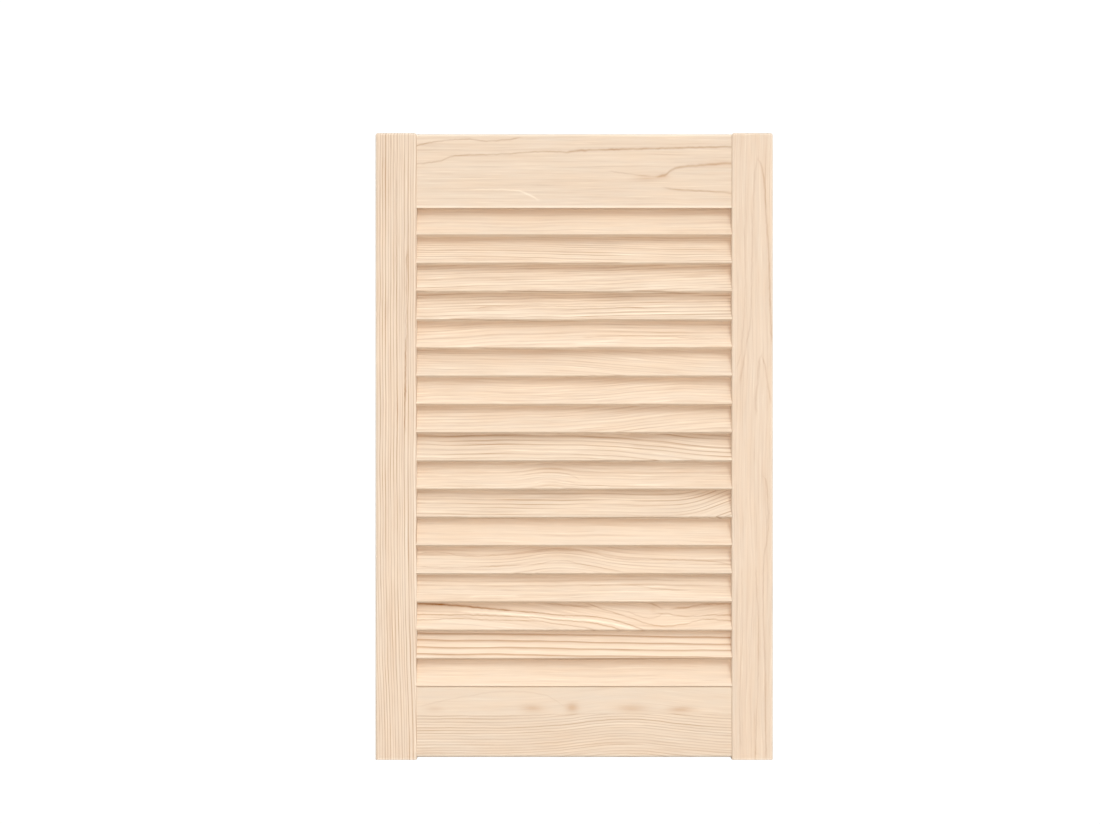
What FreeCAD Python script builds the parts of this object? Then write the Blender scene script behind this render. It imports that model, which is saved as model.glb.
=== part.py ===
"""Louvred cabinet door in pine: two stiles, two rails and a ladder of fixed slats.

The door is upright with its front towards -Y. The origin is the middle of the left stile's outer
edge, where hinges are screwed on: +X runs across the door and +Z up. All sizes are millimetres.
"""

import FreeCAD
import Part
import math
import os
import Sketcher

# Driving dimensions. Everything else is worked out from these.
SIZES = {
    "door_height": 615,  # over the ends of the stiles
    "door_width": 390,  # over the outer edges of the stiles
    "door_thickness": 21,  # of the stiles, the thickest pieces
    "stile_width": 40.5,
    "stile_arris": 2.5,  # rounding of a stile's long edges and of its top end
    "foot_ease": 0.6,  # rounding of a stile's lower end, which is cut square
    "rail_height": 72.7,
    "rail_recess": 2,  # rail face behind the stile face, front and back
    "rail_arris": 3,  # rounding of a rail's outer long edges
    "rail_ease": 0.5,  # rounding of a rail's inner long edges
    "top_setback": 0.8,  # top rail below the stile ends
    "bottom_setback": 2.2,  # bottom rail above the stile ends
    "top_seat": 2.5,  # how far the highest slat goes up into the top rail
    "bottom_seat": 4.8,  # how far the lowest slat goes down into the bottom rail
    "seat_gap": 0.2,  # room between a slat and the groove that it sits in
    "slat_count": 17,
    "slat_width": 32,
    "slat_thickness": 6,
    "slat_ease": 1,  # rounding of a slat's four long edges
    "slat_setback": 1,  # slat edges behind the stile face, front and back
    "housing_depth": 8,  # how far a slat's end goes into a stile
    "housing_fit": 0.1,  # room all round a slat's end in its housing
    "housing_end_gap": 0.3,  # room between a slat's end and its housing's floor
}

# Sizes worked out from the sheet, as expressions.
OPENING = "(sizes.door_width - 2 * sizes.stile_width)"
RAIL_THICKNESS = "(sizes.door_thickness - 2 * sizes.rail_recess)"

# A slat's section is a rectangle with eased corners, whose centres make a smaller rectangle. The
# slat leans back from upright by the tilt that brings its edges to their setback behind the stiles.
SLAT_DEPTH = "(sizes.door_thickness - 2 * sizes.slat_setback)"
CORE_WIDTH = "(sizes.slat_width - 2 * sizes.slat_ease)"
CORE_THICKNESS = "(sizes.slat_thickness - 2 * sizes.slat_ease)"
CORE_DIAGONAL = f"sqrt({CORE_WIDTH} ^ 2 + {CORE_THICKNESS} ^ 2)"
SLAT_TILT = (
    f"(asin(({SLAT_DEPTH} - 2 * sizes.slat_ease) / {CORE_DIAGONAL})"
    f" - atan({CORE_THICKNESS} / {CORE_WIDTH}))"
)
SLAT_RISE = (
    f"({CORE_WIDTH} * cos({SLAT_TILT}) + {CORE_THICKNESS} * sin({SLAT_TILT}) + 2 * sizes.slat_ease)"
)
SLAT_LENGTH = f"({OPENING} + 2 * (sizes.housing_depth - sizes.housing_end_gap))"
HOUSING_WIDTH = "(sizes.slat_width + 2 * sizes.housing_fit)"
HOUSING_THICKNESS = "(sizes.slat_thickness + 2 * sizes.housing_fit)"

# The slats are spaced evenly between the two that sit in the rails.
LOWEST_SLAT = f"(sizes.bottom_setback + sizes.rail_height - sizes.bottom_seat + {SLAT_RISE} / 2)"
HIGHEST_SLAT = (
    f"(sizes.door_height - sizes.top_setback - sizes.rail_height + sizes.top_seat - {SLAT_RISE} / 2)"
)
LADDER = f"({HIGHEST_SLAT} - {LOWEST_SLAT})"
PITCH = f"({LADDER} / (sizes.slat_count - 1))"

FOOT = "(-sizes.door_height / 2)"  # height of the stiles' lower ends above the origin
TOUCH = 1e-6


def make_sheet(doc):
    """Puts the driving dimensions into a spreadsheet, one named cell each."""
    sheet = doc.addObject("Spreadsheet::Sheet", "sizes")
    for row, (alias, value) in enumerate(SIZES.items(), start=1):
        sheet.set(f"A{row}", str(value))
        sheet.setAlias(f"A{row}", alias)
    doc.recompute()
    return sheet


def make_body(doc, label, x, z):
    """An empty body whose corner stands at x across the door and z above the origin."""
    body = doc.addObject("PartDesign::Body", label)
    body.Label = label
    body.setExpression("Placement.Base.x", x)
    body.setExpression("Placement.Base.z", z)
    return body


def origin_feature(body, role):
    """The body's own origin plane or axis with that role."""
    return next(item for item in body.Origin.OriginFeatures if item.Role == role)


def make_sketch(body, name, plane, offset):
    """An empty sketch on one of the body's origin planes, moved along the plane's own axes."""
    sketch = body.newObject("Sketcher::SketchObject", name)
    sketch.AttachmentSupport = (origin_feature(body, plane), [""])
    sketch.MapMode = "FlatFace"
    for axis, place in zip("xyz", offset):
        sketch.setExpression(f"AttachmentOffset.Base.{axis}", place)
    return sketch


def bind(sketch, constraint, name, expression):
    """Adds a dimension to the sketch and ties it to the spreadsheet."""
    index = sketch.addConstraint(constraint)
    sketch.renameConstraint(index, name)
    sketch.setExpression(f"Constraints.{name}", expression)


def draw_rectangle(sketch, width, height, centred=False):
    """A rectangle that stands in the corner of the sketch's axes, or is centred on them."""
    side = 10.0
    corners = [(0, 0), (side, 0), (side, side), (0, side)]
    points = [FreeCAD.Vector(x, y, 0) for x, y in corners]
    for start, end in zip(points, points[1:] + points[:1]):
        sketch.addGeometry(Part.LineSegment(start, end), False)
    for line in range(4):
        sketch.addConstraint(Sketcher.Constraint("Coincident", line, 2, (line + 1) % 4, 1))
    for line, direction in enumerate(("Horizontal", "Vertical") * 2):
        sketch.addConstraint(Sketcher.Constraint(direction, line))
    if centred:
        sketch.addConstraint(Sketcher.Constraint("Symmetric", 0, 1, 2, 1, -1, 1))
    else:
        sketch.addConstraint(Sketcher.Constraint("Coincident", 0, 1, -1, 1))
    bind(sketch, Sketcher.Constraint("DistanceX", 0, 1, 0, 2, side), "width", width)
    bind(sketch, Sketcher.Constraint("DistanceY", 1, 1, 1, 2, side), "height", height)


def lean_back(sketch):
    """Turns a sketch about its own origin by a slat's tilt."""
    sketch.AttachmentOffset = FreeCAD.Placement(
        sketch.AttachmentOffset.Base, FreeCAD.Rotation(FreeCAD.Vector(0, 0, 1), 0)
    )
    sketch.setExpression("AttachmentOffset.Rotation.Angle", f"-{SLAT_TILT}")


def draw_slat_section(sketch, room):
    """A slat's section with that much room all round it, centred and leaning back by the tilt."""
    lean_back(sketch)
    # Sides and corners in turn, anticlockwise from the lower side.
    half, ease = 10.0, 2.0
    core = half - ease
    normal = FreeCAD.Vector(0, 0, 1)
    quarter = math.pi / 2
    for turn in range(4):
        spin = FreeCAD.Rotation(normal, 90 * turn)
        start = spin.multVec(FreeCAD.Vector(-core, -half, 0))
        end = spin.multVec(FreeCAD.Vector(core, -half, 0))
        centre = spin.multVec(FreeCAD.Vector(core, -core, 0))
        corner = Part.ArcOfCircle(Part.Circle(centre, normal, ease), (turn - 1) * quarter, turn * quarter)
        sketch.addGeometry(Part.LineSegment(start, end), False)
        sketch.addGeometry(corner, False)
    for item in range(8):
        sketch.addConstraint(Sketcher.Constraint("Tangent", item, 2, (item + 1) % 8, 1))
    for line, direction in zip((0, 2, 4, 6), ("Horizontal", "Vertical") * 2):
        sketch.addConstraint(Sketcher.Constraint(direction, line))
    for corner in (3, 5, 7):
        sketch.addConstraint(Sketcher.Constraint("Equal", 1, corner))
    sketch.addConstraint(Sketcher.Constraint("Symmetric", 1, 3, 5, 3, -1, 1))
    bind(sketch, Sketcher.Constraint("Radius", 1, ease), "ease", f"sizes.slat_ease + {room}")
    bind(sketch, Sketcher.Constraint("DistanceX", 7, 3, 1, 3, 2 * core), "core_thickness", CORE_THICKNESS)
    bind(sketch, Sketcher.Constraint("DistanceY", 1, 3, 3, 3, 2 * core), "core_width", CORE_WIDTH)


def pad(body, sketch, name, length):
    """Extrudes the sketch along its plane's normal."""
    feature = body.newObject("PartDesign::Pad", name)
    feature.Profile = sketch
    feature.setExpression("Length", length)
    return feature


def pocket(body, sketch, name, depth, forwards):
    """Cuts the sketch into the body, along its plane's normal or against it."""
    feature = body.newObject("PartDesign::Pocket", name)
    feature.Profile = sketch
    feature.Reversed = forwards
    feature.setExpression("Length", depth)
    return feature


def fillet(body, base, name, edges, radius):
    """Rounds the named edges of a feature."""
    feature = body.newObject("PartDesign::Fillet", name)
    feature.Base = (base, edges)
    feature.setExpression("Radius", radius)
    return feature


def edges_where(feature, test):
    """Names of the feature's edges whose middle passes the test."""
    return [
        f"Edge{number}"
        for number, edge in enumerate(feature.Shape.Edges, start=1)
        if test(edge.CenterOfMass)
    ]


def make_stile(doc, label, x, inner_face, cuts_towards_x):
    """An upright with rounded edges and one leaning, square-cut housing for each slat in its inner face."""
    body = make_body(doc, label, x, FOOT)
    outline = make_sketch(body, f"{label}_outline", "XY_Plane", ("0", "-sizes.door_thickness / 2", "0"))
    draw_rectangle(outline, "sizes.stile_width", "sizes.door_thickness")
    blank = pad(body, outline, f"{label}_blank", "sizes.door_height")
    doc.recompute()
    above_foot = edges_where(blank, lambda middle: middle.z > TOUCH)
    arrises = fillet(body, blank, f"{label}_arrises", above_foot, "sizes.stile_arris")
    doc.recompute()
    round_foot = edges_where(arrises, lambda middle: middle.z < TOUCH)
    rounded = fillet(body, arrises, f"{label}_foot", round_foot, "sizes.foot_ease")
    doc.recompute()

    mouth = make_sketch(body, f"{label}_housing_mouth", "YZ_Plane", ("0", LOWEST_SLAT, inner_face))
    lean_back(mouth)
    draw_rectangle(mouth, HOUSING_THICKNESS, HOUSING_WIDTH, centred=True)
    housing = pocket(body, mouth, f"{label}_housing", "sizes.housing_depth", cuts_towards_x)
    doc.recompute()
    if housing.Shape.Volume > rounded.Shape.Volume - TOUCH:
        raise RuntimeError(f"{label}: the housing cut nothing")

    ladder = body.newObject("PartDesign::LinearPattern", f"{label}_housings")
    ladder.Originals = [housing]
    ladder.Direction = (origin_feature(body, "Z_Axis"), [""])
    ladder.setExpression("Length", LADDER)
    ladder.setExpression("Occurrences", "sizes.slat_count")
    body.Tip = ladder
    return body


def make_rail(doc, label, z, seat):
    """A cross member: rounded along its outer edge, with a groove in its inner edge for a slat.

    It is drawn as the bottom rail lies, with the groove in its upper edge and open to the front.
    """
    body = make_body(doc, label, "sizes.stile_width", z)
    outline = make_sketch(body, f"{label}_outline", "YZ_Plane", (f"-{RAIL_THICKNESS} / 2", "0", "0"))
    draw_rectangle(outline, RAIL_THICKNESS, "sizes.rail_height")
    blank = pad(body, outline, f"{label}_blank", OPENING)

    slat_height = f"sizes.rail_height - {seat} + {SLAT_RISE} / 2"
    mouth = make_sketch(body, f"{label}_groove_mouth", "YZ_Plane", ("0", slat_height, "0"))
    draw_slat_section(mouth, "sizes.seat_gap")
    groove = pocket(body, mouth, f"{label}_groove", OPENING, True)
    doc.recompute()
    if groove.Shape.Volume > blank.Shape.Volume - TOUCH:
        raise RuntimeError(f"{label}: the groove cut nothing")

    box = blank.Shape.BoundBox

    def on_face(point):
        return abs(point.x - box.Center.x) < TOUCH and abs(abs(point.y) - box.YMax) < TOUCH

    def is_outer(point):
        return on_face(point) and point.z < box.Center.z

    def is_inner(point):
        return on_face(point) and point.z > box.Center.z

    rounded = fillet(body, groove, f"{label}_arrises", edges_where(groove, is_outer), "sizes.rail_arris")
    doc.recompute()
    fillet(body, rounded, f"{label}_eased", edges_where(rounded, is_inner), "sizes.rail_ease")
    return body


def make_slat(doc, label, steps_up):
    """One fixed louvre with eased edges, its ends let into the stiles."""
    x = "sizes.stile_width - sizes.housing_depth + sizes.housing_end_gap"
    body = make_body(doc, label, x, f"{FOOT} + {LOWEST_SLAT} + {steps_up} * {PITCH}")
    section = make_sketch(body, f"{label}_section", "YZ_Plane", ("0", "0", "0"))
    draw_slat_section(section, "0")
    pad(body, section, f"{label}_strip", SLAT_LENGTH)
    return body


def make_door(doc):
    """All the pieces of the door, from the frame to the lowest slat."""
    sheet = make_sheet(doc)
    left = make_stile(doc, "left_stile", "0", "sizes.stile_width", False)
    right = make_stile(doc, "right_stile", "sizes.door_width - sizes.stile_width", "0", True)
    bottom = make_rail(doc, "bottom_rail", f"{FOOT} + sizes.bottom_setback", "sizes.bottom_seat")
    top = make_rail(doc, "top_rail", "sizes.door_height / 2 - sizes.top_setback", "sizes.top_seat")
    # The top rail is turned over, so its groove is in its lower edge and open to the back.
    top.Placement = FreeCAD.Placement(top.Placement.Base, FreeCAD.Rotation(FreeCAD.Vector(1, 0, 0), 180))
    count = int(sheet.slat_count)
    slats = [make_slat(doc, f"slat_{number:02d}", count - number) for number in range(1, count + 1)]
    return [left, right, top, bottom, *slats]


def check(doc, pieces):
    """Stops if a feature failed or a piece isn't one sound solid."""
    doc.recompute()
    for item in doc.Objects:
        if {"Invalid", "Error"} & set(item.State):
            raise RuntimeError(f"{item.Label} failed: {item.State}")
    for piece in pieces:
        shape = piece.Shape
        if shape.isNull() or not shape.isValid() or len(shape.Solids) != 1:
            raise RuntimeError(f"{piece.Label} isn't one sound solid")


def main():
    doc = FreeCAD.newDocument("louvred_door")
    pieces = make_door(doc)
    check(doc, pieces)
    os.makedirs("parts", exist_ok=True)
    for piece in pieces:
        piece.Shape.exportStep(f"parts/{piece.Label}.step")


main()
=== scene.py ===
"""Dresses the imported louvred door: pine grain, studio light and the photograph's camera."""

import math
from dataclasses import dataclass

import bpy
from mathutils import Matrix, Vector


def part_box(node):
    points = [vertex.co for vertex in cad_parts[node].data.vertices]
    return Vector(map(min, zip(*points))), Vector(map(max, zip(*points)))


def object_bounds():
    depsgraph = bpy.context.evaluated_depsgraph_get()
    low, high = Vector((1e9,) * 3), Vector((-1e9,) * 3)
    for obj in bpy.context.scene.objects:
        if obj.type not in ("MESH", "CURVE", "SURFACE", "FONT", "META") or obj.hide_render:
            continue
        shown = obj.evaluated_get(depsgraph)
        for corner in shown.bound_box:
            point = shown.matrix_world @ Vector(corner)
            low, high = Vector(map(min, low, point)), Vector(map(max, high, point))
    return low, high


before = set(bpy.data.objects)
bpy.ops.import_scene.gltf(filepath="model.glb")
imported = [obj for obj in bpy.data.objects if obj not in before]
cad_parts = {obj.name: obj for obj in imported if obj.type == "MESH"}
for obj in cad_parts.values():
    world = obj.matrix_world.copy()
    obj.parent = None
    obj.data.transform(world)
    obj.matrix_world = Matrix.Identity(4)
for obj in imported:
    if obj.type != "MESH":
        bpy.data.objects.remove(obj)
cad_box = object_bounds()

MM = 0.001
WHITE = (1.0, 1.0, 1.0)

# A slat in its own axes, in millimetres, and its lean from upright
SLAT_WIDTH, SLAT_THICKNESS = 32.0, 6.0
SLAT_TILT = math.radians(26.58)

# Where the door is in the photograph, in its pixels
PHOTO_WIDTH, PHOTO_HEIGHT = 1100, 824
DOOR_LEFT, DOOR_TOP, DOOR_FOOT = 375.3, 132.8, 760.0
CAMERA_DISTANCE = 2.0  # in metres
SENSOR_WIDTH = 36.0  # in millimetres

# Distant lamps: the way to each, the white level it gives a sheet that faces it, its width in radians
SUNS = {
    "canopy": ((0.2, -0.6, 1.0), 0.357, 1.40),
    "right_wall": ((1.0, -0.4, 0.2), 0.14, 1.20),
    "left_wall": ((-1.0, -0.4, 0.2), 0.10, 1.20),
    "back_left": ((-1.0, 0.7, 0.4), 0.42, 1.00),
    "back_right": ((1.0, 0.7, 0.4), 0.36, 1.00),
}
# The key lamp, tall and narrow: a column of distant lamps
KEY_SIDE = 0.34  # how far to the right they stand for each metre in front
KEY_RISES = (0.45, 0.63, 0.84, 1.08)  # how high each one stands for each metre in front
KEY_STRENGTH, KEY_WIDTH = 0.067, 0.14  # white level and width of each one
SUN_COLOUR = (0.965, 1.01, 1.05)
# The lamp beside the camera: its white level on the door, its width, and how far below and behind it is
FRONT_STRENGTH, FRONT_WIDTH = 0.395, 0.5
FRONT_DROP, FRONT_BEHIND = 0.08, 0.1
FRONT_COLOUR = (1.05, 0.97, 0.94)
ROOM_STRENGTH = 0.23
SEEN_WHITE = 1.05  # level at which the camera sees the floor and the surroundings

# The floor: its looks, half its width, and how far below the door it is
FLOOR_GREY, FLOOR_ROUGHNESS = 0.47, 0.9
FLOOR_HALF, FLOOR_GAP = 6.0, 2 * MM


@dataclass
class Cloud:
    """Noise in a board: its waves per millimetre each way, and how far a seed moves it along the grain."""

    along: float
    across: float
    through: float
    step: float
    detail: float
    roughness: float = 0.5


@dataclass
class Wave:
    """Noise along one number: its waves per unit, and how far a seed moves it."""

    rate: float
    step: float
    detail: float


# Slow sway and small waves of the grain
SWAY = Wave(rate=0.008, step=917.0, detail=2.0)
CURL = Cloud(along=0.06, across=0.08, through=0.0, step=419.0, detail=1.0)

# Growth rings
RING_LEAN = 0.5  # how far they lean across for each millimetre through the board
RING_ROAM = 0.35  # how far they roam for each millimetre of their width
RING_PEAK = 0.90  # where in a ring the late wood is darkest
RING_POWER = 1.6  # how late in a ring it darkens
RING_MEAN = 0.23  # mean darkness of a line for each share of late wood
RING_ROAMING = Cloud(along=0.02, across=0.12, through=0.12, step=517.0, detail=2.0)
RING_WIDTHS = Wave(rate=0.45, step=37.0, detail=1.0)
# How rings differ and fade: the noise at which they are whole, and how much the faintest lose
RING_TONES = Wave(rate=3.7, step=7.3, detail=0.0)
TONE_REACH, TONE_LOSS = 0.3, 0.78
RING_FADES = Cloud(along=0.012, across=0.06, through=0.0, step=311.0, detail=1.0)
FADE_REACH, FADE_LOSS = 0.25, 0.72

# Fibre streaks: the noise at which a fine thread starts and is full, and how strong the streaks are
FINE_FIBRES = Cloud(along=0.021, across=0.9, through=0.9, step=211.0, detail=2.0, roughness=0.6)
THREAD_START, THREAD_FULL, THREAD_STRENGTH = 0.03, 0.25, 0.36
BROAD_FIBRES = Cloud(along=0.008, across=0.22, through=0.22, step=211.0, detail=1.0)
BROAD_STRENGTH = 0.45

# A plain band's soft edge in millimetres, and the share of the streaks that shows in the band
PLAIN_EDGE, PLAIN_STREAKS = 1.5, 0.55

# Drawn veins: half of the length over which one fades at its ends, and how far it wobbles, in millimetres
VEIN_TAPER, VEIN_WOBBLE = 6.0, 1.2
VEIN_WOBBLES = Wave(rate=0.12, step=97.0, detail=2.0)
VEIN_TONES = Wave(rate=0.06, step=73.0, detail=2.0)

# Paler edges, partly rubbed wear and partly a painted highlight on the rounding: how far from an edge they
# start and are full, in widths of its rounding
PALE_EDGE_START, PALE_EDGE_FULL = 1.2, 0.3

# How much of a darkening each channel takes in late wood and in brown stains
LATE_TINT = (0.74, 1.05, 1.30)
STAIN_TINT = (0.62, 1.06, 1.42)

# How the ground drifts from pink to yellow
GROUND_DRIFT = (0.05, -0.005, -0.07)
SLOW_DRIFT = Cloud(along=0.008, across=0.05, through=0.05, step=131.0, detail=2.0)
QUICK_DRIFT = Cloud(along=0.03, across=0.2, through=0.2, step=173.0, detail=2.0)

# The surface: its roughness, what lines, streaks and wear add to it, its sheen and its fine relief
ROUGHNESS = 0.6
LINE_ROUGHNESS, STREAK_ROUGHNESS, WEAR_ROUGHNESS = -0.06, 0.10, -0.05
SHEEN = 0.25
RELIEF_STRENGTH, RELIEF_HEIGHT = 0.12, 0.2 * MM


@dataclass
class Board:
    """What boards of one sort share."""

    turn: tuple  # how they lie
    colour: tuple  # linear, sanded and bare
    half: tuple  # half their sizes along the grain, through it and across it, in millimetres
    arris: float  # rounding of their edges, in millimetres
    edge_wear_and_highlight: float  # how much paler their edges are: rubbed wear and a painted highlight on the rounding
    open_ends: bool  # whether their ends show


def half_size(node):
    """Half the size of a CAD node's box, in millimetres."""
    low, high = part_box(node)
    return (high - low) / (2 * MM)


stile_half, rail_half, slat_half = (half_size(node) for node in ("left_stile", "top_rail", "slat_01"))
STILE = Board(
    turn=(0.0, -math.pi / 2, 0.0),
    colour=(0.712, 0.558, 0.416),
    half=(stile_half.z, stile_half.y, stile_half.x),
    arris=2.5,
    edge_wear_and_highlight=0.12,
    open_ends=True,
)
RAIL = Board(
    turn=(0.0, 0.0, 0.0),
    colour=(0.727, 0.579, 0.435),
    half=tuple(rail_half),
    arris=3.0,
    edge_wear_and_highlight=0.20,
    open_ends=False,
)
SLAT = Board(
    turn=(-SLAT_TILT, 0.0, 0.0),
    colour=(0.736, 0.578, 0.427),
    half=(slat_half.x, SLAT_THICKNESS / 2, SLAT_WIDTH / 2),
    arris=1.0,
    edge_wear_and_highlight=0.10,
    open_ends=False,
)


class Graph:
    """Shorthand for wiring shader nodes."""

    def __init__(self, tree):
        self.tree = tree

    def feed(self, socket, value):
        if isinstance(value, bpy.types.NodeSocket):
            self.tree.links.new(value, socket)
        else:
            socket.default_value = value

    def node(self, kind, **settings):
        made = self.tree.nodes.new(kind)
        for name, value in settings.items():
            setattr(made, name, value)
        return made

    def math(self, operation, *values):
        made = self.node("ShaderNodeMath", operation=operation)
        for socket, value in zip(made.inputs, values):
            self.feed(socket, value)
        return made.outputs[0]

    def add(self, *values):
        total = values[0]
        for value in values[1:]:
            total = self.math("ADD", total, value)
        return total

    def mul(self, *values):
        product = values[0]
        for value in values[1:]:
            product = self.math("MULTIPLY", product, value)
        return product

    def vector(self, operation, *values):
        made = self.node("ShaderNodeVectorMath", operation=operation)
        for socket, value in zip(made.inputs, values):
            self.feed(socket, value)
        return made.outputs[0]

    def darken(self, colour, amount, tint):
        """Takes an amount away from a colour, more or less of it from each channel."""
        return self.vector("MULTIPLY_ADD", amount, tuple(-channel for channel in tint), colour)

    def combine(self, x, y, z):
        made = self.node("ShaderNodeCombineXYZ")
        for socket, value in zip(made.inputs, (x, y, z)):
            self.feed(socket, value)
        return made.outputs[0]

    def remap(self, value, low, high, to_low=0.0, to_high=1.0):
        made = self.node("ShaderNodeMapRange", interpolation_type="SMOOTHSTEP")
        for socket, item in zip(made.inputs, (value, low, high, to_low, to_high)):
            self.feed(socket, item)
        return made.outputs[0]

    def cloud(self, along, across, through, cloud, seed):
        """Smooth noise in a board, about -0.5 to 0.5."""
        made = self.node("ShaderNodeTexNoise", noise_dimensions="3D")
        spot = self.combine(
            self.mul(self.add(along, seed * cloud.step), cloud.along),
            self.mul(across, cloud.across),
            self.mul(through, cloud.through),
        )
        self.feed(made.inputs["Vector"], spot)
        made.inputs["Scale"].default_value = 1.0
        made.inputs["Detail"].default_value = cloud.detail
        made.inputs["Roughness"].default_value = cloud.roughness
        return self.math("SUBTRACT", made.outputs["Fac"], 0.5)

    def wave(self, value, wave, seed):
        """Smooth noise along one number, about -0.5 to 0.5."""
        made = self.node("ShaderNodeTexNoise", noise_dimensions="1D")
        self.feed(made.inputs["W"], self.add(value, seed * wave.step))
        made.inputs["Scale"].default_value = wave.rate
        made.inputs["Detail"].default_value = wave.detail
        return self.math("SUBTRACT", made.outputs["Fac"], 0.5)

    def path(self, value, points):
        """A smooth line through given points, level beyond its ends."""
        start, end = points[0][0], points[-1][0]
        low = min(height for place, height in points)
        rise = max(1.0, max(height for place, height in points) - low)
        made = self.node("ShaderNodeFloatCurve")
        made.mapping.extend = "HORIZONTAL"
        curve = made.mapping.curves[0]
        spots = [((place - start) / (end - start), (height - low) / rise) for place, height in points]
        curve.points[0].location = spots[0]
        curve.points[1].location = spots[-1]
        for spot in spots[1:-1]:
            curve.points.new(*spot)
        made.mapping.update()
        share = self.mul(self.add(value, -start), 1.0 / (end - start))
        self.feed(made.inputs["Value"], share)
        return self.add(self.mul(made.outputs[0], rise), low)

    def bell(self, value, centre, width):
        """A smooth bump, 1 at the centre and nearly nothing two widths away."""
        offset = self.mul(self.add(value, -centre), 1.0 / width)
        return self.math("EXPONENT", self.mul(self.mul(offset, offset), -1.0))


@dataclass
class Vein:
    """A drawn line of the grain, in millimetres: how thick, how dark or pale, where it runs."""

    half_height: float
    darkness: float
    path: tuple


@dataclass
class Stain:
    """A soft brown spot, in millimetres: its middle, half its size, and how dark it is."""

    along: float
    across: float
    half_length: float
    half_height: float
    darkness: float


@dataclass
class Grain:
    """How one board's wood runs, in millimetres and in the board's own axes from its middle."""

    seed: int
    tone: float = 1.0  # brightness
    spacing: float = 4.0  # width of a growth ring
    lines: float = 0.3  # darkness of the late wood
    late: float = 0.65  # share of a ring that darkens into late wood
    uneven: float = 0.9  # how much the rings differ in width and darkness
    streaks: float = 0.4  # strength of the fibre streaks
    slope: float = 0.0  # climb of the grain along the board
    bends: tuple = ()  # arches in the grain: centre, half length, rise
    wander: float = 4.0  # slow sway of the grain
    curl: float = 0.0  # small waves in the grain
    plain_above: float = 1000.0  # height over which the rings don't show
    veins: tuple = ()
    stains: tuple = ()


def board_axes(graph, middle, turn):
    """Places in a board from its middle, in millimetres: along the grain, through it and across it."""
    coordinates = graph.node("ShaderNodeTexCoord")
    to_board = graph.node("ShaderNodeMapping", vector_type="TEXTURE")
    graph.feed(to_board.inputs["Vector"], coordinates.outputs["Object"])
    to_board.inputs["Location"].default_value = middle
    to_board.inputs["Rotation"].default_value = turn
    to_board.inputs["Scale"].default_value = (MM, MM, MM)
    axes = graph.node("ShaderNodeSeparateXYZ")
    graph.feed(axes.inputs[0], to_board.outputs[0])
    return tuple(axes.outputs)


def grain_flow(graph, place, grain):
    """How far across the board a fibre would lie if it ran straight: slopes, arches, sway and curl."""
    along, through, across = place
    flow = graph.add(across, graph.mul(along, -grain.slope))
    for centre, half_length, rise in grain.bends:
        flow = graph.add(flow, graph.mul(graph.bell(along, centre, half_length), -rise))
    sway = graph.mul(graph.wave(along, SWAY, grain.seed), grain.wander)
    curl = graph.mul(graph.cloud(along, across, through, CURL, grain.seed), grain.curl)
    return graph.add(flow, sway, curl)


def figured(graph, across, grain, plain_share):
    """1 where the board has figure, and a share of it in the plain band above."""
    return graph.remap(across, grain.plain_above, grain.plain_above + PLAIN_EDGE, 1.0, plain_share)


def ring_lines(graph, place, flow, grain):
    """Dark late-wood lines, 0 to 1, where the growth rings come out of the board."""
    along, through, across = place
    seed, uneven = grain.seed, grain.uneven
    roam = graph.mul(graph.cloud(along, flow, through, RING_ROAMING, seed), RING_ROAM * grain.spacing)
    depth = graph.add(flow, graph.mul(through, RING_LEAN), roam)
    rings = graph.mul(depth, 1.0 / grain.spacing)
    rings = graph.add(rings, graph.mul(graph.wave(rings, RING_WIDTHS, seed), uneven))
    part = graph.math("FRACT", rings)
    rise = graph.remap(part, RING_PEAK - grain.late, RING_PEAK)
    fall = graph.remap(part, RING_PEAK, 1.0, 1.0, 0.0)
    line = graph.mul(graph.math("POWER", rise, RING_POWER), fall)
    tone = graph.wave(graph.math("FLOOR", rings), RING_TONES, seed)
    strength = graph.remap(tone, -TONE_REACH, TONE_REACH, 1.0 - TONE_LOSS * uneven, 1.0)
    patch = graph.cloud(along, flow, through, RING_FADES, seed)
    fade = graph.remap(patch, -FADE_REACH, FADE_REACH, 1.0 - FADE_LOSS * uneven, 1.0)
    return graph.mul(line, strength, fade, figured(graph, across, grain, 0.0))


def fibre_streaks(graph, place, flow, grain):
    """Streaks along the grain, dark above 0 and pale below, fainter where the board is plain."""
    along, through, across = place
    thread = graph.cloud(along, flow, through, FINE_FIBRES, grain.seed)
    dark = graph.remap(thread, THREAD_START, THREAD_FULL, 0.0, THREAD_STRENGTH)
    pale = graph.remap(thread, -THREAD_FULL, -THREAD_START, -THREAD_STRENGTH, 0.0)
    broad = graph.mul(graph.cloud(along, flow, through, BROAD_FIBRES, grain.seed), BROAD_STRENGTH)
    return graph.mul(graph.add(dark, pale, broad), figured(graph, across, grain, PLAIN_STREAKS))


def drawn_veins(graph, along, across, grain):
    """The single lines that stand out on a board, dark above 0 and pale below."""
    strength = graph.add(graph.wave(along, VEIN_TONES, grain.seed), 1.0)
    wobble = graph.mul(graph.wave(along, VEIN_WOBBLES, grain.seed), VEIN_WOBBLE)
    total = 0.0
    for vein in grain.veins:
        start, end = vein.path[0][0], vein.path[-1][0]
        shown = graph.mul(
            graph.remap(along, start - VEIN_TAPER, start + VEIN_TAPER),
            graph.remap(along, end - VEIN_TAPER, end + VEIN_TAPER, 1.0, 0.0),
        )
        offset = graph.add(across, graph.mul(graph.path(along, vein.path), -1.0), wobble)
        line = graph.bell(offset, 0.0, vein.half_height)
        total = graph.add(total, graph.mul(line, shown, strength, vein.darkness))
    return total


def drawn_stains(graph, along, across, grain):
    """The soft brown spots on a board."""
    total = 0.0
    for stain in grain.stains:
        spread = graph.bell(along, stain.along, stain.half_length)
        spread = graph.mul(spread, graph.bell(across, stain.across, stain.half_height))
        total = graph.add(total, graph.mul(spread, stain.darkness))
    return total


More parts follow.
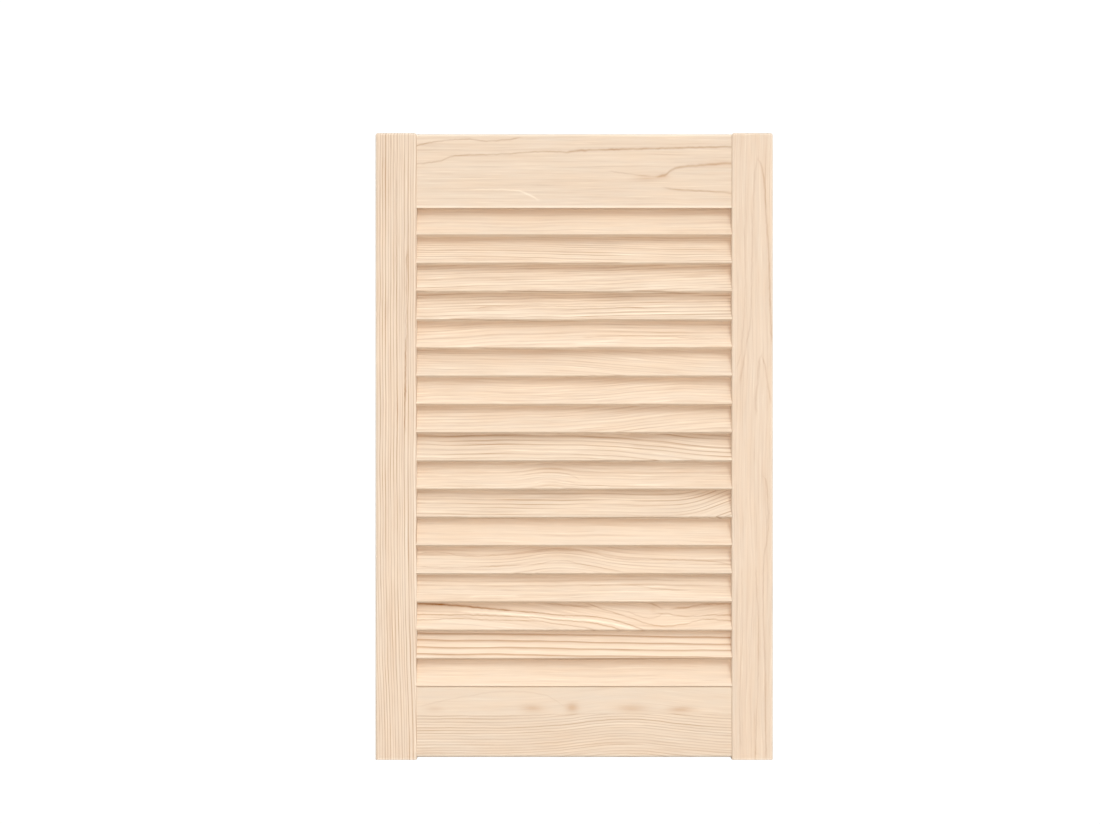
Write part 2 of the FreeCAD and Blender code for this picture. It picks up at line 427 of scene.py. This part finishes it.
def worn_and_highlit_edges(graph, place, board):
    """Paler edges of a board, 0 to 1, wherever two faces that show meet: partly rubbed wear, partly a
    painted highlight on the rounding.
    """
    near = []
    for position, limit in zip(place, board.half):
        start, full = limit - PALE_EDGE_START * board.arris, limit - PALE_EDGE_FULL * board.arris
        near.append(graph.remap(graph.math("ABSOLUTE", position), start, full))
    along, through, across = near
    edge_wear_and_highlight = graph.mul(through, across)
    if board.open_ends:
        edge_wear_and_highlight = graph.math("MAXIMUM", edge_wear_and_highlight, graph.mul(along, through))
    return edge_wear_and_highlight


def ground_colour(graph, place, colour, grain):
    """The colour between the lines, which drifts from pink to yellow."""
    along, through, across = place
    drift = WHITE
    for cloud in (SLOW_DRIFT, QUICK_DRIFT):
        patch = graph.cloud(along, across, through, cloud, grain.seed)
        drift = graph.vector("MULTIPLY_ADD", patch, GROUND_DRIFT, drift)
    return graph.vector("MULTIPLY", drift, tuple(channel * grain.tone for channel in colour))


def pine(name, middle, board, grain):
    """Pine cut from a log of its own."""
    material = bpy.data.materials.new(name)
    material.use_nodes = True
    graph = Graph(material.node_tree)
    shader = material.node_tree.nodes["Principled BSDF"]

    place = board_axes(graph, middle, board.turn)
    along, _, across = place
    flow = grain_flow(graph, place, grain)
    line = ring_lines(graph, place, flow, grain)
    streak = fibre_streaks(graph, place, flow, grain)
    edge_wear_and_highlight = worn_and_highlit_edges(graph, place, board)

    dark = graph.add(
        graph.mul(line, grain.lines),
        -RING_MEAN * grain.late * grain.lines,
        graph.mul(streak, grain.streaks),
        # Paler edges: partly rubbed wear, partly a painted highlight on the rounded edges
        graph.mul(edge_wear_and_highlight, -board.edge_wear_and_highlight),
        drawn_veins(graph, along, across, grain),
    )
    shade = graph.darken(WHITE, dark, LATE_TINT)
    if grain.stains:
        shade = graph.darken(shade, drawn_stains(graph, along, across, grain), STAIN_TINT)
    ground = ground_colour(graph, place, board.colour, grain)
    graph.feed(shader.inputs["Base Color"], graph.vector("MULTIPLY", ground, shade))

    roughness = graph.add(
        graph.mul(line, LINE_ROUGHNESS),
        graph.mul(streak, STREAK_ROUGHNESS),
        graph.mul(edge_wear_and_highlight, WEAR_ROUGHNESS),
        ROUGHNESS,
    )
    graph.feed(shader.inputs["Roughness"], roughness)
    shader.inputs["Specular IOR Level"].default_value = SHEEN
    relief = graph.node("ShaderNodeBump")
    relief.inputs["Strength"].default_value = RELIEF_STRENGTH
    relief.inputs["Distance"].default_value = RELIEF_HEIGHT
    graph.feed(relief.inputs["Height"], graph.add(line, streak))
    graph.feed(shader.inputs["Normal"], relief.outputs[0])
    return material


def dress(node, board, grain):
    """Gives a CAD node a pine of its own."""
    low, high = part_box(node)
    material = pine(f"pine_{node}", (low + high) / 2, board, grain)
    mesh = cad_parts[node].data
    mesh.materials.clear()
    mesh.materials.append(material)


# Along a stile is up and across it is to the left; along a rail or slat is to the right and across it is up
FRAME_GRAIN = {
    # Straight tight grain
    "left_stile": Grain(
        seed=1, spacing=2.7, lines=0.66, late=0.42, uneven=0.70, streaks=0.36, wander=2.0,
        bends=((-300.0, 120.0, -5.0),),
        veins=(
            Vein(0.7, 0.24, ((15, -9), (75, -9.5), (190, -10.5))),
            Vein(0.8, 0.26, ((45, -9.2), (75, -9.5), (105, -9.8))),
            Vein(0.6, 0.12, ((0, -1.5), (150, -0.5), (290, 1))),
        ),
    ),
    # Soft pointed figures that open downwards, one below the other
    "right_stile": Grain(
        seed=2, tone=1.02, spacing=3.7, lines=0.14, late=0.3, streaks=0.32,
        veins=(
            Vein(0.9, 0.20, ((102, -19), (139, -17.5), (188, -16), (229, -13.5), (261, -11.5), (273, -9.5),
                             (281, -5.5))),
            Vein(0.8, 0.13, ((65, 11.5), (102, 5.5), (124, 2), (188, 0), (224, -0.5), (261, -2),
                             (280, -4.5))),
            Vein(0.7, 0.10, ((78, 15.5), (109, 9.5), (163, 7), (217, 8))),
            Vein(0.8, 0.15, ((43, -18), (65, -14.5), (83, -11.5), (89, -9))),
            Vein(1.0, 0.15, ((33, -3.5), (50, -3.5), (63, -5.5), (83, -7), (89, -9))),
            Vein(0.8, 0.16, ((-304, -13), (-219, -12.5), (-146, -10.5), (-108, -11.5), (-72, -15.5),
                             (-30, -11))),
            Vein(0.7, 0.16, ((-304, -3), (-268, -4), (-219, -5.5), (-175, -6), (-146, -4.5), (-121, -3.5))),
            Vein(0.7, 0.11, ((-293, 11), (-244, 12), (-182, 10), (-121, 10))),
        ),
    ),
    # Two long veins, a pointed figure that opens to the right, and a pale scratch
    "top_rail": Grain(
        seed=3, spacing=6.0, lines=0.10, late=0.4, streaks=0.29, wander=2.0,
        veins=(
            Vein(0.7, 0.25, ((-162, 20), (-126, 30), (-104, 31), (-87, 29.5), (-54, 32.5))),
            Vein(0.8, 0.24, ((-160, 6.5), (-133, 9.5), (-115, 15), (-72, 16.5), (-24, 19), (-8, 18))),
            Vein(1.1, 0.30, ((-8, 18), (7, 20), (80, 22), (162, 24))),
            Vein(1.3, 0.26, ((82, -5.5), (89, -4), (95, 0.5), (103, 3.5), (124, 5.5), (162, 8.5))),
            Vein(1.0, 0.22, ((89, -16.5), (103, -18.5), (131, -20), (162, -22.5))),
            Vein(0.6, 0.16, ((36, -0.5), (47, -2), (59, -3.5), (72, -5))),
            Vein(0.6, 0.06, ((-160, -17.5), (-110, -17), (-75, -17.5))),
            Vein(0.6, -0.14, ((-100, -18), (-80, -18), (-53, -20))),
            Vein(1.0, -0.20, ((-54, -19.5), (-45, -23), (-36, -28))),
        ),
        stains=(
            Stain(72, -6.5, 14, 3, 0.18),
            Stain(88, -5, 6, 2.5, 0.14),
            Stain(9, -16, 55, 9, 0.04),
            Stain(142, 6.5, 30, 2.2, 0.12),
        ),
    ),
    # Fine lines that rise to a flat arch, under a plain band with brown smudges
    "bottom_rail": Grain(
        seed=4, tone=0.98, spacing=2.8, lines=0.46, late=0.40, uneven=0.6, streaks=0.36,
        bends=((50.0, 62.0, 9.0),), wander=2.0, curl=1.0, plain_above=5.5,
        veins=(
            Vein(0.7, 0.08, ((-152, 13.5), (-130, 19), (-100, 24.5), (-67, 28.5), (-37, 26.5), (-19, 20),
                             (-11, 14))),
            Vein(0.6, 0.10, ((-160, 4), (-60, 4.5), (-10, 6), (30, 6.5), (162, 5.5))),
        ),
        stains=(
            Stain(-137, 11, 9, 3, 0.12),
            Stain(-41, 12, 11, 3.5, 0.22),
            Stain(-2, 12.5, 6, 4.5, 0.28),
            Stain(57, 12, 15, 4, 0.20),
            Stain(105, 11, 13, 3, 0.26),
        ),
    ),
}

# Slats from the top down
SLAT_GRAIN = [
    Grain(seed=5, tone=1.01, spacing=4.0, lines=0.14, streaks=0.31),
    Grain(seed=6, tone=1.01, spacing=2.6, lines=0.56, late=0.40, streaks=0.42, slope=-0.02),
    Grain(seed=7, spacing=3.0, lines=0.56, late=0.40, streaks=0.60, slope=0.03),
    Grain(
        seed=8, spacing=3.4, lines=0.62, late=0.45, streaks=0.60, slope=0.02,
        veins=(Vein(0.6, 0.22, ((-93, -4), (-50, -1.5), (-10, -2), (37, -2.5), (70, -4))),),
    ),
    Grain(
        seed=9, tone=1.045, spacing=4.2, lines=0.27, late=0.5, streaks=0.46, bends=((-170.0, 90.0, -8.0),),
        veins=(
            Vein(0.6, 0.18, ((11, -5.5), (37, -4), (59, -3.5), (92, -4), (120, -6), (153, -6))),
            Vein(1.2, -0.12, ((2, -12.5), (22, -10.5), (46, -7))),
        ),
    ),
    Grain(seed=10, spacing=2.9, lines=0.26, late=0.5, streaks=0.46, bends=((170.0, 150.0, -16.0),)),
    Grain(seed=11, tone=1.03, spacing=3.2, lines=0.22, late=0.5, streaks=0.50, bends=((120.0, 80.0, 8.0),)),
    Grain(seed=12, spacing=3.6, lines=0.28, late=0.5, streaks=0.45, bends=((170.0, 140.0, 20.0),)),
    Grain(
        seed=13, tone=0.955, spacing=4.7, lines=0.65, late=0.5, streaks=0.51,
        bends=((160.0, 90.0, -14.0),),
    ),
    Grain(
        seed=14, spacing=3.6, lines=0.24, late=0.5, streaks=0.48, curl=1.2, bends=((-24.0, 24.0, 4.0),),
        veins=(
            Vein(0.6, 0.14, ((-54, -3), (-37, 0), (-19, 1), (-2, -2.5), (5, -6.5))),
            Vein(0.6, 0.12, ((-37, -11.5), (-19, -8.5), (2, -11))),
        ),
    ),
    Grain(
        seed=15, tone=0.955, spacing=3.8, lines=0.58, late=0.5, streaks=0.50, slope=-0.01,
        bends=((170.0, 40.0, 20.0),),
    ),
    Grain(seed=16, tone=1.025, spacing=5.5, lines=0.11, streaks=0.30, slope=-0.01),
    Grain(
        seed=17, tone=0.99, spacing=4.0, lines=0.40, late=0.45, streaks=0.44, slope=-0.02,
        bends=((-12.0, 45.0, 9.0),),
        veins=(
            Vein(0.6, 0.20, ((-152, 4.5), (-133, 6), (-107, 2), (-75, 3), (-40, 6), (-10, 8.5), (15, 6),
                             (59, -2), (103, -2), (153, -6.5))),
            Vein(0.6, 0.20, ((-152, -9), (-122, -10), (-61, -8), (-37, -6.5), (-11, -3), (2, -5.5),
                             (44, -13.5))),
        ),
    ),
    Grain(
        seed=18, tone=0.995, spacing=5.0, lines=0.28, streaks=0.50, curl=1.0,
        veins=(
            Vein(0.7, -0.12, ((-102, -12), (-82, -10), (-54, -11))),
            Vein(0.6, 0.16, ((11, 0), (31, 1), (48, 1), (70, -1), (85, -3.5), (150, -6.5))),
            Vein(0.6, -0.12, ((70, -5), (110, -5.5), (153, -6))),
        ),
    ),
    # Lines that fall away to the right, and curves round a small knot
    Grain(
        seed=19, tone=1.03, spacing=6.2, lines=0.08, late=0.4, uneven=0.5, streaks=0.42, slope=-0.02,
        wander=1.0, bends=((85.0, 110.0, -24.0),),
        veins=(
            Vein(1.1, 0.52, ((-175, 12.2), (-153, 11.4), (-126, 10), (-93, 6.8), (-65, 4))),
            Vein(1.2, 0.20, ((-175, 12.2), (-153, 11.4), (-126, 10))),
            Vein(0.7, 0.36, ((-65, 4), (-37, 1.6), (-6, -1.4), (11, -1.8), (26, -3.3), (38, -6), (49, -9),
                             (61, -13.5), (68, -16))),
            Vein(0.7, 0.34, ((-175, -0.8), (-126, -0.4), (-61, -2.3), (-37, -3.4), (-20, -5.6), (-8, -6.6),
                             (15, -8.7), (32, -12.2), (45, -16))),
            Vein(0.6, 0.28, ((-170, -6.2), (-139, -5.8), (-122, -4.5), (-105, -4.4), (-90, -5.6),
                             (-65, -6.4), (-40, -7), (-22, -9.5), (5, -13), (20, -16))),
            Vein(0.7, 0.26, ((3, 14), (14, 11), (26, 6.3), (43, 0.4), (61, -5.6), (72, -10), (88, -12.3),
                             (106, -10.6), (118, -7.8), (129, -5.4), (152, -6.6), (165, -6.6))),
            Vein(0.7, 0.26, ((80, 0.8), (90, 0.8), (97, -0.6), (106, -2), (123, -2), (135, -0.8),
                             (165, -1.5))),
            Vein(0.7, 0.18, ((54, 2.5), (65, -2.2), (72, -4), (79, -3.4), (86, 0.5))),
            Vein(0.9, 0.30, ((72, 12.5), (79, 10), (86, 6.5))),
            Vein(0.9, 0.30, ((-50, 13), (-19, 11), (-8, 9.2), (9, 8.3), (16, 8))),
            Vein(0.8, 0.32, ((98, 6), (106, 6.5), (118, 8.6), (129, 10.6), (154, 11.2), (165, 11.2))),
            Vein(1.3, -0.20, ((-110, 2.4), (-70, 0.6), (-45, -1.3), (-22, -4), (5, -5.8), (15, -6.3),
                              (32, -8.5), (49, -12.6), (58, -15))),
        ),
        stains=(Stain(78, 5, 3, 4, 0.06),),
    ),
    # Even dark lines from end to end
    Grain(
        seed=20, tone=1.02, spacing=7.1, lines=0.50, late=0.5, uneven=0.12, streaks=0.30, slope=-0.0135,
        wander=1.5,
    ),
    Grain(seed=21, tone=1.03, spacing=6.0, lines=0.10, streaks=0.34),
]


def dress_boards():
    """Gives every stile, rail and slat its own wood."""
    for node in ("left_stile", "right_stile"):
        dress(node, STILE, FRAME_GRAIN[node])
    for node in ("top_rail", "bottom_rail"):
        dress(node, RAIL, FRAME_GRAIN[node])
    for number, grain in enumerate(SLAT_GRAIN, start=1):
        dress(f"slat_{number:02d}", SLAT, grain)


def make_camera():
    """A level camera straight in front, with the door where the photograph has it."""
    low, high = cad_box
    pixel = (high.z - low.z) / (DOOR_FOOT - DOOR_TOP)
    data = bpy.data.cameras.new("camera")
    data.sensor_width = SENSOR_WIDTH
    data.lens = SENSOR_WIDTH * CAMERA_DISTANCE / (PHOTO_WIDTH * pixel)
    camera = bpy.data.objects.new("camera", data)
    camera.location = (
        low.x + (PHOTO_WIDTH / 2 - DOOR_LEFT) * pixel,
        low.y - CAMERA_DISTANCE,
        high.z - (PHOTO_HEIGHT / 2 - DOOR_TOP) * pixel,
    )
    camera.rotation_euler = (math.pi / 2, 0.0, 0.0)
    bpy.context.collection.objects.link(camera)
    bpy.context.scene.camera = camera


def add_sun(name, towards, strength, angle):
    """A distant lamp: the way to it, the white level that it gives a facing sheet, and its width."""
    data = bpy.data.lights.new(name, "SUN")
    data.energy = strength * math.pi
    data.angle = angle
    data.color = SUN_COLOUR
    lamp = bpy.data.objects.new(name, data)
    lamp.rotation_euler = (-Vector(towards)).to_track_quat("-Z", "Y").to_euler()
    bpy.context.collection.objects.link(lamp)


def add_front_lamp():
    """A soft round lamp just behind and below the camera, which reaches into the gaps."""
    camera = bpy.context.scene.camera
    data = bpy.data.lights.new("front", "AREA")
    data.shape = "DISK"
    data.size = FRONT_WIDTH
    data.color = FRONT_COLOUR
    data.energy = FRONT_STRENGTH * (math.pi * (CAMERA_DISTANCE + FRONT_BEHIND)) ** 2
    lamp = bpy.data.objects.new("front", data)
    lamp.location = camera.location + Vector((0.0, -FRONT_BEHIND, -FRONT_DROP))
    lamp.rotation_euler = camera.rotation_euler
    bpy.context.collection.objects.link(lamp)


def add_lamps():
    """Soft light from all round, a key lamp at the upper right and a lamp beside the camera."""
    for name, (towards, strength, angle) in SUNS.items():
        add_sun(name, towards, strength, angle)
    for number, rise in enumerate(KEY_RISES, start=1):
        add_sun(f"key_{number}", (KEY_SIDE, -1.0, rise), KEY_STRENGTH, KEY_WIDTH)
    add_front_lamp()


def white_to_camera(graph, output, shown, lit):
    """Lets the camera see one shader and everything else another."""
    choice = graph.node("ShaderNodeMixShader")
    graph.feed(choice.inputs[0], graph.node("ShaderNodeLightPath").outputs["Is Camera Ray"])
    graph.feed(choice.inputs[1], lit)
    graph.feed(choice.inputs[2], shown)
    graph.feed(output.inputs["Surface"], choice.outputs[0])


def make_world():
    """Pale surroundings that the camera sees as white."""
    world = bpy.data.worlds.new("studio")
    world.use_nodes = True
    graph = Graph(world.node_tree)
    room = world.node_tree.nodes["Background"]
    seen = graph.node("ShaderNodeBackground")
    for background, strength in ((room, ROOM_STRENGTH), (seen, SEEN_WHITE)):
        background.inputs["Color"].default_value = (*WHITE, 1.0)
        background.inputs["Strength"].default_value = strength
    white_to_camera(graph, world.node_tree.nodes["World Output"], seen.outputs[0], room.outputs[0])
    bpy.context.scene.world = world
    bpy.context.scene.view_settings.view_transform = "Standard"


def make_floor():
    """A plain pale floor just below the door, which throws light up at it and looks white to the camera."""
    height = cad_box[0].z - FLOOR_GAP
    corners = [
        (-FLOOR_HALF, -FLOOR_HALF),
        (FLOOR_HALF, -FLOOR_HALF),
        (FLOOR_HALF, FLOOR_HALF),
        (-FLOOR_HALF, FLOOR_HALF),
    ]
    mesh = bpy.data.meshes.new("floor")
    mesh.from_pydata([(x, y, height) for x, y in corners], [], [(0, 1, 2, 3)])
    material = bpy.data.materials.new("floor")
    material.use_nodes = True
    graph = Graph(material.node_tree)
    shader = material.node_tree.nodes["Principled BSDF"]
    shader.inputs["Base Color"].default_value = (FLOOR_GREY, FLOOR_GREY, FLOOR_GREY, 1.0)
    shader.inputs["Roughness"].default_value = FLOOR_ROUGHNESS
    seen = graph.node("ShaderNodeEmission")
    seen.inputs["Strength"].default_value = SEEN_WHITE
    white_to_camera(graph, material.node_tree.nodes["Material Output"], seen.outputs[0], shader.outputs[0])
    mesh.materials.append(material)
    floor = bpy.data.objects.new("floor", mesh)
    bpy.context.collection.objects.link(floor)


dress_boards()
make_camera()
add_lamps()
make_world()
make_floor()
